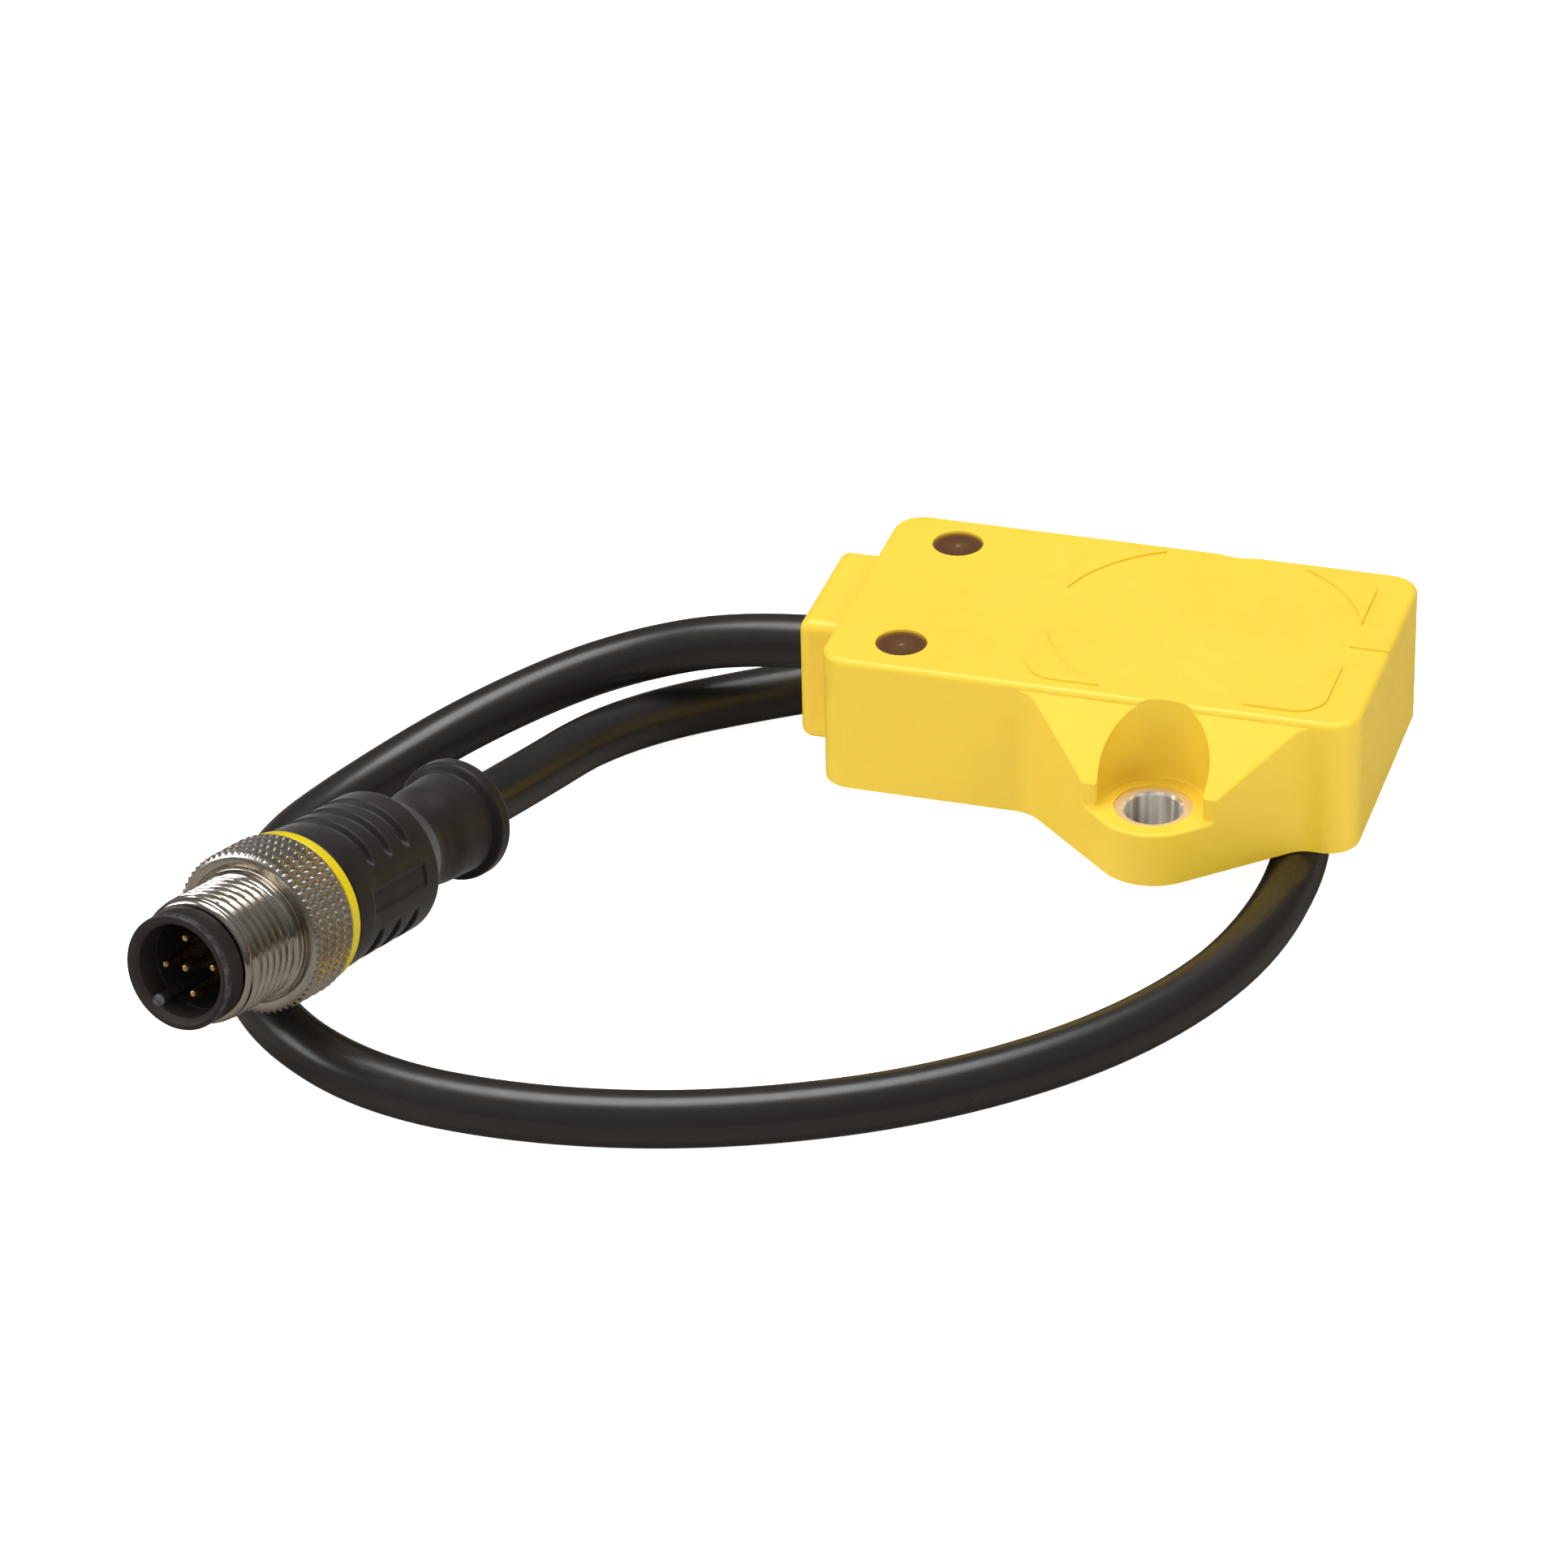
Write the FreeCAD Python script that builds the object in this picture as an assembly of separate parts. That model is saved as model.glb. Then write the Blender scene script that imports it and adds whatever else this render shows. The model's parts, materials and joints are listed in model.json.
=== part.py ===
import FreeCAD, Part
import math
import os

# Inductive rotary position sensor in a flat moulded housing, with a moulded cable and a round
# five-pin plug.  All sizes are in millimetres.
#
# Frame: the origin is where the sensing axis leaves the sensing face, the flat top of the housing.
# +Z points out of the sensing face, +X runs along the housing, away from its cable end, and the two
# mounting ears stand out along -Y (front) and +Y (rear).

V = FreeCAD.Vector

# ---------------------------------------------------------------- driving dimensions: housing
HOUSING_LENGTH = 52.5
HOUSING_WIDTH = 30.0
HOUSING_HEIGHT = 14.0
AXIS_FROM_CABLE_END = 34.25
CORNER_RADIUS = 3.0
TOP_EDGE_RADIUS = 0.6
WALL = 1.6
CEILING = 1.3

HOLE_SPACING = 39.0
EAR_TIP_RADIUS = 5.5
EAR_HEIGHT = 5.5
EAR_WALL_ANGLE = 42.0
EAR_ROOT_RADII = (4.0, 3.0)
EAR_SLOPE_ANGLE = 42.0
EAR_FRONT_CUT = 1.6
HEAD_CLEARANCE_RADIUS = 5.25
EAR_EDGE_RADIUS = 0.3

SLEEVE_OUTER_RADIUS = 3.75
SLEEVE_INNER_RADIUS = 2.75
SLEEVE_RECESS = 0.25
SLEEVE_CHAMFER = 0.25

WINDOW_RADIUS = 2.5
WINDOW_FROM_CABLE_END = 7.1
WINDOW_OFFSET = 10.1
WINDOW_RECESS = 0.25
WINDOW_FLANGE_RADIUS = 3.2
WINDOW_FLANGE_THICKNESS = 0.5

MARK_HEIGHT = 0.2
MARK_HALF_LENGTH = 14.5
MARK_HALF_WIDTH = 13.4
MARK_CIRCLE_RADIUS = 15.1
RIB_LENGTH = 3.9
RIB_WIDTH = 0.6

COVER_THICKNESS = 1.0
COVER_LEDGE = 0.8
POTTING_HEIGHT = 4.6

ENTRY_LENGTH = 4.0
ENTRY_WIDTH = 15.4
ENTRY_BOTTOM = 0.3
ENTRY_TOP = 13.3
ENTRY_EDGE_RADIUS = 1.1
TONGUE_WIDTH = 11.0
TONGUE_BOTTOM = 1.4
TONGUE_TOP = 12.0
TONGUE_DEPTH = 3.2

# ---------------------------------------------------------------- driving dimensions: electronics
BOARD_LEVEL = 8.6
BOARD_THICKNESS = 0.8
BOARD_GAP = 0.5
COIL_BOARD_LEVEL = 11.4
COIL_BOARD_RADIUS = 12.6
COIL_BOARD_THICKNESS = 0.8
COPPER_THICKNESS = 0.15
CORE_RADIUS = 0.5
CORE_CIRCLE_RADIUS = 1.3
PAD_PITCH = 2.4
PAD_THICKNESS = 0.12
PAD_OF_CORE = (2, 3, 4, 0, 1)

# ---------------------------------------------------------------- driving dimensions: cable
CABLE_RADIUS = 2.65
CABLE_HEIGHT = 7.0
CABLE_TO_HOUSING_GAP = 0.1
ARC_SHARE = 0.45

# ---------------------------------------------------------------- driving dimensions: plug
# Lengths along the plug are measured from its nose, where the socket opens.
PLUG_NOSE = V(-74.97, -78.02, -3.35)
PLUG_HEADING = 76.2
PLUG_DIP = 9.9
PIN_ROLL = -11.9
PIN_CIRCLE_RADIUS = 2.63
PIN_RADIUS = 0.5
PIN_RECESS = 1.9
CENTRE_PIN_LEAD = 0.6
SOCKET_RADIUS = 4.4
SOCKET_DEPTH = 8.5
KEY_RADIUS = 0.6
LIP_RADIUS = 5.45
LIP_LENGTH = 2.75
CARRIER_RADIUS = 4.85
CARRIER_LENGTH = 18.6
NUT_FRONT = 2.95
NUT_REAR = 17.3
THREAD_RADIUS = 6.0
THREAD_ROOT_RADIUS = 5.45
THREAD_PITCH = 1.0
THREAD_TURNS = 7
THREAD_START = 3.6
LEAD_IN_RADIUS = 5.9
KNURL_RADIUS = 7.8
KNURL_FRONT = 11.4
NUT_RUNNING_GAP = 0.1
RING_FRONT = 17.45
RING_REAR = 18.4
RING_RADIUS = 7.5
GRIP_REAR = 33.0
GRIP_RADIUS = 7.05
GRIP_RIM_RADIUS = 7.15
GROOVE_PLACES = (23.0, 25.9, 28.8)
GROOVE_WIDTH = 0.8
GROOVE_DEPTH = 0.5
PLATE_PLACE = 25.7
PLATE_LENGTH = 8.6
PLATE_WIDTH = 2.0
PLATE_DEPTH = 0.25
NECK_RADIUS = 4.5
TAIL_RADIUS = 4.95
FLANGE_FRONT = 44.1
FLANGE_REAR = 45.8
FLANGE_RADIUS = 5.75
CABLE_IN_PLUG = 6.7
CABLE_STRAIGHT = 10.2
PREMOULD_RADIUS = 5.6
PREMOULD_TAIL_RADIUS = 3.6

# ---------------------------------------------------------------- worked-out positions
BASE = -HOUSING_HEIGHT
CABLE_END = -AXIS_FROM_CABLE_END
FAR_END = CABLE_END + HOUSING_LENGTH
HALF_WIDTH = HOUSING_WIDTH / 2
HOLE_OFFSET = HOLE_SPACING / 2
EAR_TOP = BASE + EAR_HEIGHT
WINDOW_X = CABLE_END + WINDOW_FROM_CABLE_END
CAVITY_TOP = -CEILING
CABLE_Z = BASE + CABLE_HEIGHT
FLOOR_LINE_Z = BASE - CABLE_TO_HOUSING_GAP - CABLE_RADIUS
JACKET_END_X = CABLE_END + TONGUE_DEPTH - 0.2
TONGUE_END_X = CABLE_END + TONGUE_DEPTH
UP = V(0, 0, 1)


# ---------------------------------------------------------------- helpers
def block(x, y, z):
    """Box from three (low, high) pairs."""
    return Part.makeBox(x[1] - x[0], y[1] - y[0], z[1] - z[0], V(x[0], y[0], z[0]))


def disc(radius, bottom, top, x=0.0, y=0.0):
    return Part.makeCylinder(radius, top - bottom, V(x, y, bottom))


def fused(shapes):
    whole = shapes[0].multiFuse(shapes[1:]) if len(shapes) > 1 else shapes[0]
    return whole.removeSplitter()


def rounded_wire(corners, level):
    """Closed outline through (x, y, radius) corners, each rounded by a tangent arc."""
    edges, ends = [], []
    count = len(corners)
    for i, (x, y, radius) in enumerate(corners):
        here = V(x, y, level)
        before = V(corners[i - 1][0], corners[i - 1][1], level)
        after = V(corners[(i + 1) % count][0], corners[(i + 1) % count][1], level)
        if radius == 0:
            ends.append((here, None, here))
            continue
        to_before = (before - here).normalize()
        to_after = (after - here).normalize()
        half = to_before.getAngle(to_after) / 2
        reach = radius / math.tan(half)
        inward = (to_before + to_after).normalize()
        middle = here + inward * (radius / math.sin(half) - radius)
        ends.append((here + to_before * reach, middle, here + to_after * reach))
    for i, (start, middle, end) in enumerate(ends):
        if middle is not None:
            edges.append(Part.Arc(start, middle, end).toShape())
        following = ends[(i + 1) % count][0]
        edges.append(Part.LineSegment(end, following).toShape())
    return Part.Wire(edges)


def slab(corners, bottom, top):
    """Upright prism over a rounded outline."""
    return Part.Face(rounded_wire(corners, bottom)).extrude(V(0, 0, top - bottom))


def rectangle(x, y, radius):
    return [(x[0], y[0], radius), (x[1], y[0], radius), (x[1], y[1], radius), (x[0], y[1], radius)]


def mirrored(shape):
    """The same piece on the rear side of the housing."""
    return shape.mirror(V(0, 0, 0), V(0, 1, 0))


def save(name, shape):
    shape.exportStep(os.path.join("parts", name + ".step"))


# ---------------------------------------------------------------- housing
def ear():
    """Front mounting ear: a pointed lug whose top slopes down from the housing's upper edge."""
    angle = math.radians(EAR_WALL_ANGLE)
    root = (EAR_TIP_RADIUS + math.cos(angle) * (HOLE_OFFSET - HALF_WIDTH)) / math.sin(angle)
    tip = -HOLE_OFFSET - EAR_TIP_RADIUS / math.cos(angle)
    inside = -HALF_WIDTH + WALL
    left, right = -root - 3.0, FAR_END - CORNER_RADIUS - 0.05
    outline = [(left, inside, 0), (left, -HALF_WIDTH, 0), (-root, -HALF_WIDTH, EAR_ROOT_RADII[0]),
               (0, tip, EAR_TIP_RADIUS), (root, -HALF_WIDTH, EAR_ROOT_RADII[1]),
               (right, -HALF_WIDTH, 0), (right, inside, 0)]
    slope_top = -TOP_EDGE_RADIUS
    reach = (slope_top - EAR_TOP) / math.tan(math.radians(EAR_SLOPE_ANGLE))
    above = [V(-30, -HALF_WIDTH, slope_top), V(-30, -HALF_WIDTH - reach, EAR_TOP), V(-30, -40, EAR_TOP),
             V(-30, -40, 1), V(-30, -HALF_WIDTH, 1), V(-30, -HALF_WIDTH, slope_top)]
    slope = Part.Face(Part.makePolygon(above))
    return slab(outline, BASE, slope_top).cut(slope.extrude(V(60, 0, 0)))


def head_clearance():
    """Room over the front ear for a screw head and its driver."""
    well = disc(HEAD_CLEARANCE_RADIUS, EAR_TOP, 1.0, 0, -HOLE_OFFSET)
    front = block((-15, 15), (-40, -HOLE_OFFSET - EAR_FRONT_CUT), (EAR_TOP, 1.0))
    return fused([well, front])


def raised_marks():
    """Four corner marks round the sensing circle, and a short rib at the far end."""
    outline = rectangle((-MARK_HALF_LENGTH, MARK_HALF_LENGTH), (-MARK_HALF_WIDTH, MARK_HALF_WIDTH), 3.0)
    corners = slab(outline, -MARK_HEIGHT, MARK_HEIGHT).cut(disc(MARK_CIRCLE_RADIUS, -1, 1))
    rib = block((FAR_END - RIB_LENGTH - 0.1, FAR_END - 0.1), (-RIB_WIDTH / 2, RIB_WIDTH / 2),
                (-MARK_HEIGHT * 3, MARK_HEIGHT))
    return [corners, rib]


def on_top_rim(edge):
    return all(abs(vertex.Z) < 1e-6 for vertex in edge.Vertexes)


def is_sharp(shape, edge):
    """True where the two faces at an edge meet at a clear angle, and not smoothly."""
    middle = edge.valueAt((edge.FirstParameter + edge.LastParameter) / 2)
    faces = shape.ancestorsOfType(edge, Part.Face)
    normals = [face.normalAt(*face.Surface.parameter(middle)) for face in faces]
    return len(normals) == 2 and math.degrees(normals[0].getAngle(normals[1])) > 25


def ear_edges(shape):
    """Sharp edges of the ears, apart from those of the flat base."""
    outside = HALF_WIDTH + 0.5
    edges = []
    for edge in shape.Edges:
        on_ear = all(abs(vertex.Y) > outside for vertex in edge.Vertexes)
        on_base = all(abs(vertex.Z - BASE) < 1e-3 for vertex in edge.Vertexes)
        if on_ear and not on_base and is_sharp(shape, edge):
            edges.append(edge)
    return edges


def housing_shell():
    body = slab(rectangle((CABLE_END, FAR_END), (-HALF_WIDTH, HALF_WIDTH), CORNER_RADIUS), BASE, 0)
    body = body.makeFillet(TOP_EDGE_RADIUS, [edge for edge in body.Edges if on_top_rim(edge)])
    front_ear = ear()
    shell = fused([body, front_ear, mirrored(front_ear)])
    shell = shell.cut(head_clearance()).cut(mirrored(head_clearance()))
    shell = shell.makeFillet(EAR_EDGE_RADIUS, ear_edges(shell))
    shell = fused([shell] + raised_marks())
    cavity_x = (CABLE_END + WALL, FAR_END - WALL)
    cavity_y = (-HALF_WIDTH + WALL, HALF_WIDTH - WALL)
    shell = shell.cut(slab(rectangle(cavity_x, cavity_y, CORNER_RADIUS - WALL), BASE - 1, CAVITY_TOP))
    shell = shell.cut(slab(cover_outline(), BASE - 1, BASE + COVER_THICKNESS))
    shell = shell.cut(block((CABLE_END - 1, CABLE_END + WALL + 1), (-TONGUE_WIDTH / 2, TONGUE_WIDTH / 2),
                            (BASE + TONGUE_BOTTOM, BASE + TONGUE_TOP)))
    for side in (-1, 1):
        shell = shell.cut(disc(SLEEVE_OUTER_RADIUS, BASE - 1, 1, 0, side * HOLE_OFFSET))
        shell = shell.cut(disc(WINDOW_RADIUS, CAVITY_TOP - 1, 1, WINDOW_X, side * WINDOW_OFFSET))
    return shell


def cover_outline():
    edge = COVER_LEDGE
    return rectangle((CABLE_END + edge, FAR_END - edge), (-HALF_WIDTH + edge, HALF_WIDTH - edge),
                     CORNER_RADIUS - edge)


def base_cover():
    return slab(cover_outline(), BASE, BASE + COVER_THICKNESS)


def potting_compound():
    """Cast resin layer between the base cover and the circuit board."""
    x = (TONGUE_END_X + 0.2, FAR_END - WALL)
    y = (-HALF_WIDTH + WALL, HALF_WIDTH - WALL)
    return slab(rectangle(x, y, CORNER_RADIUS - WALL), BASE + COVER_THICKNESS, BASE + POTTING_HEIGHT)


def mounting_sleeve():
    bottom, top = BASE, EAR_TOP - SLEEVE_RECESS
    outer, inner, bevel = SLEEVE_OUTER_RADIUS, SLEEVE_INNER_RADIUS, SLEEVE_CHAMFER
    return turned([(inner, bottom + bevel), (inner + bevel, bottom), (outer, bottom), (outer, top),
                   (inner + bevel, top), (inner, top - bevel)], V(0, -HOLE_OFFSET, 0))


def turned(profile, centre=V(0, 0, 0)):
    """Solid of revolution about a vertical axis, from (radius, height) points."""
    points = [centre + V(radius, 0, height) for radius, height in profile]
    face = Part.Face(Part.makePolygon(points + points[:1]))
    return face.revolve(centre, UP, 360)


def status_window():
    """Smoked light window: a disc in the top face with a flange under the ceiling."""
    body = disc(WINDOW_RADIUS, CAVITY_TOP - WINDOW_FLANGE_THICKNESS, -WINDOW_RECESS)
    flange = disc(WINDOW_FLANGE_RADIUS, CAVITY_TOP - WINDOW_FLANGE_THICKNESS, CAVITY_TOP)
    window = fused([body, flange])
    window.translate(V(WINDOW_X, -WINDOW_OFFSET, 0))
    return window


def cable_entry_block():
    """Moulded block round the cable, with a tongue through the housing's end wall."""
    outer_x = CABLE_END - ENTRY_LENGTH
    body = block((outer_x, CABLE_END), (-ENTRY_WIDTH / 2, ENTRY_WIDTH / 2),
                 (BASE + ENTRY_BOTTOM, BASE + ENTRY_TOP))
    rounded = [edge for edge in body.Edges if min(v.X for v in edge.Vertexes) < CABLE_END - 0.01]
    body = body.makeFillet(ENTRY_EDGE_RADIUS, rounded)
    tongue = block((CABLE_END, TONGUE_END_X), (-TONGUE_WIDTH / 2, TONGUE_WIDTH / 2),
                   (BASE + TONGUE_BOTTOM, BASE + TONGUE_TOP))
    bore = Part.makeCylinder(CABLE_RADIUS, 20, V(outer_x - 1, 0, CABLE_Z), V(1, 0, 0))
    return fused([body, tongue]).cut(bore)


# ---------------------------------------------------------------- electronics
def circuit_board():
    inset = WALL + BOARD_GAP
    length, width = (TONGUE_END_X + 2.4, FAR_END - inset), (-HALF_WIDTH + inset, HALF_WIDTH - inset)
    outline = rectangle(length, width, 1.0)
    return slab(outline, BASE + BOARD_LEVEL, BASE + BOARD_LEVEL + BOARD_THICKNESS)


def coil_board():
    bottom = BASE + COIL_BOARD_LEVEL
    return disc(COIL_BOARD_RADIUS, bottom, bottom + COIL_BOARD_THICKNESS)


def ring(outer, inner, bottom, top, x=0.0, y=0.0):
    return disc(outer, bottom, top, x, y).cut(disc(inner, bottom - 1, top + 1, x, y))


def emitter_coil():
    """Three concentric printed turns round the rim of the coil board."""
    bottom = BASE + COIL_BOARD_LEVEL + COIL_BOARD_THICKNESS
    top = bottom + COPPER_THICKNESS
    return Part.makeCompound([ring(radius, radius - 0.4, bottom, top) for radius in (12.2, 11.4, 10.6)])


def receiver_coils():
    """Six overlapping printed loops about the sensing axis, on the board's lower face."""
    top = BASE + COIL_BOARD_LEVEL
    loops = []
    for k in range(6):
        x = 5.6 * math.cos(math.radians(60 * k))
        y = 5.6 * math.sin(math.radians(60 * k))
        loops.append(ring(4.3, 3.9, top - COPPER_THICKNESS, top, x, y))
    return fused(loops)


def link_pins():
    """Two rows of pins that join the coil board to the circuit board."""
    bottom = BASE + BOARD_LEVEL + BOARD_THICKNESS
    top = BASE + COIL_BOARD_LEVEL
    pins = []
    for side in (-1, 1):
        for k in (-1, 0, 1):
            pins.append(disc(0.32, bottom, top, 1.27 * k, side * 11.5))
    return Part.makeCompound(pins)


def chip(size, height, x, y):
    """Chip package hanging under the circuit board."""
    top = BASE + BOARD_LEVEL
    length, width = (x - size[0] / 2, x + size[0] / 2), (y - size[1] / 2, y + size[1] / 2)
    return block(length, width, (top - height, top))


def chip_row(size, height, x, y, step, count):
    return Part.makeCompound([chip(size, height, x + step[0] * k, y + step[1] * k) for k in range(count)])


def status_light():
    bottom = BASE + BOARD_LEVEL + BOARD_THICKNESS
    lamp = block((WINDOW_X - 0.8, WINDOW_X + 0.8), (-WINDOW_OFFSET - 0.6, -WINDOW_OFFSET + 0.6),
                 (bottom, bottom + 0.4))
    dome = Part.makeSphere(0.55, V(WINDOW_X, -WINDOW_OFFSET, bottom + 0.4), UP, 0, 90, 360)
    return fused([lamp, dome])


# ---------------------------------------------------------------- wires and cable
def rounded_path(points, report=None):
    """Straight runs joined by tangent arcs, each as large as its two runs allow."""
    edges, start = [], points[0]
    for before, here, after in zip(points, points[1:], points[2:]):
        back, ahead = before - here, after - here
        half_turn = (math.pi - back.getAngle(ahead)) / 2
        reach = ARC_SHARE * min(back.Length, ahead.Length)
        radius = reach / math.tan(half_turn)
        back.normalize()
        ahead.normalize()
        centre = here + (back + ahead).normalize() * (radius / math.cos(half_turn))
        first, last = here + back * reach, here + ahead * reach
        middle = centre + (here - centre).normalize() * radius
        edges.append(Part.LineSegment(start, first).toShape())
        edges.append(Part.Arc(first, middle, last).toShape())
        start = last
        if report:
            print(f"{report}: turn {math.degrees(2 * half_turn):5.1f} deg, radius {radius:5.1f} mm")
    edges.append(Part.LineSegment(start, points[-1]).toShape())
    return Part.Wire(edges)


def tube(points, radius, report=None):
    path = rounded_path(points, report)
    circle = Part.Circle(points[0], points[1] - points[0], radius).toShape()
    body = path.makePipeShell([Part.Wire([circle])], True, False)
    if report:
        fullness = body.Volume / (math.pi * radius ** 2 * path.Length)
        print(f"{report}: length {path.Length:.1f} mm, volume / (section x length) {fullness:.4f}")
    return body


def housing_core(index):
    """One insulated core, from the cable's end to its solder pad under the board."""
    angle = math.radians(90 + 72 * index)
    y, z = CORE_CIRCLE_RADIUS * math.cos(angle), CABLE_Z + CORE_CIRCLE_RADIUS * math.sin(angle)
    pad = pad_place(PAD_OF_CORE[index])
    return tube([V(JACKET_END_X, y, z), V(JACKET_END_X + 1.4, y, z), V(pad.x, pad.y, BASE + 6.0), pad],
                CORE_RADIUS)


def pad_place(index):
    """Middle of a solder pad's lower face; pad 0 is the rear one."""
    return V(JACKET_END_X + 8.6, PAD_PITCH * (2 - index), BASE + BOARD_LEVEL - PAD_THICKNESS)


def solder_pads():
    places = [pad_place(index) for index in range(5)]
    return Part.makeCompound([disc(0.85, place.z, place.z + PAD_THICKNESS, place.x, place.y)
                              for place in places])


def cable_route():
    """Corner points of the cable's route, from inside the housing to inside the plug.

    The cable leaves the entry block level, sinks to the floor round the outside of the plug, passes
    under the coupling nut, sweeps round in front of the housing, turns back beneath and behind it,
    and comes out under the entry block into the back of the plug.
    """
    low = FLOOR_LINE_Z
    return [V(JACKET_END_X, 0, CABLE_Z),
            V(-44.0, 0.0, CABLE_Z),
            V(-58.7, -1.9, low + 6.0),
            V(-70.5, -10.5, low + 2.3),
            V(-78.8, -23.3, low),
            V(-82.7, -36.3, low),
            V(-80.2, -52.4, low),
            V(-72.2, -64.4, low),
            V(-59.6, -71.8, low),
            V(-43.5, -72.6, low),
            V(-26.6, -68.7, low),
            V(-9.5, -59.7, low),
            V(4.6, -45.7, low),
            V(12.6, -28.0, low),
            V(12.8, -5.8, low),
            V(4.8, 8.4, low),
            V(-9.2, 16.7, low),
            V(-25.4, 16.9, low),
            V(-42.7, 7.1, low),
            V(-57.5, -6.4, low + 1.2),
            plug_point(FLANGE_REAR + CABLE_STRAIGHT),
            plug_point(FLANGE_REAR - CABLE_IN_PLUG)]


# ---------------------------------------------------------------- plug
def plug_axis():
    heading, dip = math.radians(PLUG_HEADING), math.radians(PLUG_DIP)
    return V(math.cos(heading) * math.cos(dip), math.sin(heading) * math.cos(dip), -math.sin(dip))


def plug_point(distance):
    return PLUG_NOSE + plug_axis() * distance


def in_plug(shape):
    """Moves a piece drawn about the Z axis onto the plug's axis, its nose at the plug's nose."""
    axis = plug_axis()
    upward = (UP - axis * axis.z).normalize()
    turn = FreeCAD.Rotation(upward.cross(axis), upward, axis, "ZYX")
    placed = shape.copy()
    placed.Placement = FreeCAD.Placement(PLUG_NOSE, turn)
    return placed


def pin_places():
    places = [(0.0, 0.0)]
    for k in range(4):
        angle = math.radians(PIN_ROLL + 90 * k)
        places.append((PIN_CIRCLE_RADIUS * math.cos(angle), PIN_CIRCLE_RADIUS * math.sin(angle)))
    return places


def contact_carrier():
    """Insulating insert: a lipped socket round the pins, and a solid rear that holds them."""
    body = turned([(0, 0), (LIP_RADIUS - 0.12, 0), (LIP_RADIUS, 0.12), (LIP_RADIUS, LIP_LENGTH),
                   (CARRIER_RADIUS, LIP_LENGTH), (CARRIER_RADIUS, 12.4), (6.0, 12.4), (6.0, 15.0),
                   (PREMOULD_RADIUS, 15.0), (PREMOULD_RADIUS, CARRIER_LENGTH), (0, CARRIER_LENGTH)])
    mouth = turned([(0, -1), (SOCKET_RADIUS + 0.3, -1), (SOCKET_RADIUS + 0.3, 0), (SOCKET_RADIUS, 0.3),
                    (SOCKET_RADIUS, SOCKET_DEPTH), (0, SOCKET_DEPTH)])
    key_angle = math.radians(PIN_ROLL - 45)
    key = disc(KEY_RADIUS, 0.9, SOCKET_DEPTH + 0.5, (SOCKET_RADIUS - 0.1) * math.cos(key_angle),
               (SOCKET_RADIUS - 0.1) * math.sin(key_angle))
    carrier = fused([body.cut(mouth), key.common(disc(SOCKET_RADIUS + 0.4, 0, 20))])
    for x, y in pin_places():
        carrier = carrier.cut(disc(PIN_RADIUS, SOCKET_DEPTH - 1, CARRIER_LENGTH + 1, x, y))
    return in_plug(carrier)


def contact_pin(index):
    """Round pin with a domed tip and a solder cup behind the carrier."""
    x, y = pin_places()[index]
    tip = PIN_RECESS - (CENTRE_PIN_LEAD if index == 0 else 0)
    cup_end = CARRIER_LENGTH + 3.0
    pin = turned([(0, tip), (PIN_RADIUS - 0.2, tip), (PIN_RADIUS, tip + 0.35),
                  (PIN_RADIUS, CARRIER_LENGTH), (0.8, CARRIER_LENGTH), (0.8, cup_end), (0, cup_end)],
                 V(x, y, 0))
    return in_plug(pin)


def coupling_nut():
    """Threaded sleeve with a knurled grip that turns freely on the contact carrier."""
    bore = CARRIER_RADIUS + NUT_RUNNING_GAP
    profile = [(bore, NUT_FRONT), (THREAD_ROOT_RADIUS, NUT_FRONT), (LEAD_IN_RADIUS, NUT_FRONT + 0.4),
               (LEAD_IN_RADIUS, THREAD_START - 0.05)]
    for turn in range(THREAD_TURNS):
        s = THREAD_START + turn * THREAD_PITCH
        profile += [(THREAD_ROOT_RADIUS, s + 0.08), (THREAD_RADIUS, s + 0.42), (THREAD_RADIUS, s + 0.58),
                    (THREAD_ROOT_RADIUS, s + 0.92)]
    run_out = THREAD_START + THREAD_TURNS * THREAD_PITCH
    profile += [(THREAD_ROOT_RADIUS + 0.2, run_out + 0.15), (6.15, run_out + 0.3),
                (6.35, KNURL_FRONT - 0.25), (KNURL_RADIUS - 0.4, KNURL_FRONT - 0.2),
                (KNURL_RADIUS, KNURL_FRONT), (KNURL_RADIUS, NUT_REAR - 0.4),
                (KNURL_RADIUS - 0.4, NUT_REAR), (6.3, NUT_REAR), (6.3, 12.2), (bore, 12.2)]
    return in_plug(turned(profile))


def marking_ring():
    return in_plug(turned([(PREMOULD_RADIUS, RING_FRONT), (RING_RADIUS - 0.15, RING_FRONT),
                           (RING_RADIUS, RING_FRONT + 0.15), (RING_RADIUS, RING_REAR - 0.15),
                           (RING_RADIUS - 0.15, RING_REAR), (PREMOULD_RADIUS, RING_REAR)]))


def plug_core():
    """Inner moulding round the solder cups and the ends of the cores."""
    body = turned([(0, CARRIER_LENGTH), (PREMOULD_RADIUS, CARRIER_LENGTH), (PREMOULD_RADIUS, 29.5),
                   (PREMOULD_TAIL_RADIUS, 34.0), (PREMOULD_TAIL_RADIUS, FLANGE_REAR - CABLE_IN_PLUG),
                   (0, FLANGE_REAR - CABLE_IN_PLUG)])
    for x, y in pin_places():
        body = body.cut(disc(0.8, CARRIER_LENGTH - 1, CARRIER_LENGTH + 3.0, x, y))
    body = in_plug(body)
    for index in range(5):
        body = body.cut(plug_lead(index))
    return body


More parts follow.
